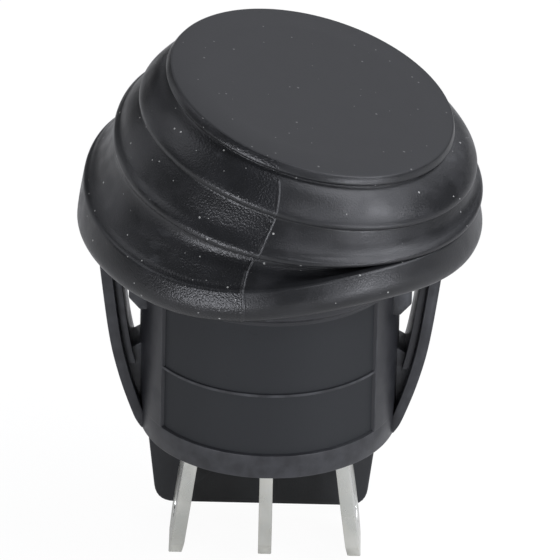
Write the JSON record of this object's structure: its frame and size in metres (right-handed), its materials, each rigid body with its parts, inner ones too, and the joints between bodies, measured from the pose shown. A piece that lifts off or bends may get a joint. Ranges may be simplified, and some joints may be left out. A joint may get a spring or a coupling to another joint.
{
  "type": "round rocker switch",
  "caption": "Round snap-in rocker switch under a stepped rubber boot, with a round barrel, two side wings and flat blade terminals below.",
  "frame": {"origin": "centre of the panel hole, in the plane where the boot's rim meets the panel's front face; the rocker's hinge axis passes through it", "axes": "+Z out of the panel along the barrel's axis, Y along the rocker's hinge axis, X along the row of terminals, with the rocker pressed down towards +X at rest"},
  "size_m": [0.024, 0.024, 0.0325],
  "materials": {
    "boot": "matte",
    "housing": "satin",
    "rocker": "satin",
    "base_plate": "matte",
    "base_seal": "matte",
    "tinned": "tin plated",
    "copper": "bare",
    "silver": "satin",
    "plunger": "satin",
    "steel": "bright"
  },
  "bodies": {
    "switch_body": {"housing": "housing", "boot": "boot", "base_plate": "base_plate", "base_seal": "base_seal", "terminal_left": "tinned", "terminal_middle": "tinned", "terminal_right": "tinned", "fixed_contact_left": "silver", "fixed_contact_right": "silver"},
    "rocker": {"rocker": "rocker", "spring": "steel"},
    "plunger": {"plunger": "plunger"},
    "seesaw": {"contact_blade": "copper", "moving_contact_left": "silver", "moving_contact_right": "silver"}
  },
  "joints": [
    {"name": "rocker_hinge", "type": "hinge", "parent": "switch_body", "child": "rocker", "pos_m": [0, 0, 0], "axis": [0, 1, 0], "range_deg": [-27, 0], "deforming": ["boot"]},
    {"name": "plunger_slide", "type": "slide", "parent": "rocker", "child": "plunger", "axis": [0.2334, 0, 0.9724], "range_m": [0, 0.0004], "stiffness_N_per_m": 400, "springref_m": -0.001, "deforming": ["spring"]},
    {"name": "seesaw_hinge", "type": "hinge", "parent": "switch_body", "child": "seesaw", "pos_m": [0, 0, -0.0076], "axis": [0, 1, 0], "range_deg": [0, 16]}
  ],
  "couplings": [
    {"joint": "seesaw_hinge", "follows": "rocker_hinge", "ratio": -0.592}
  ]
}
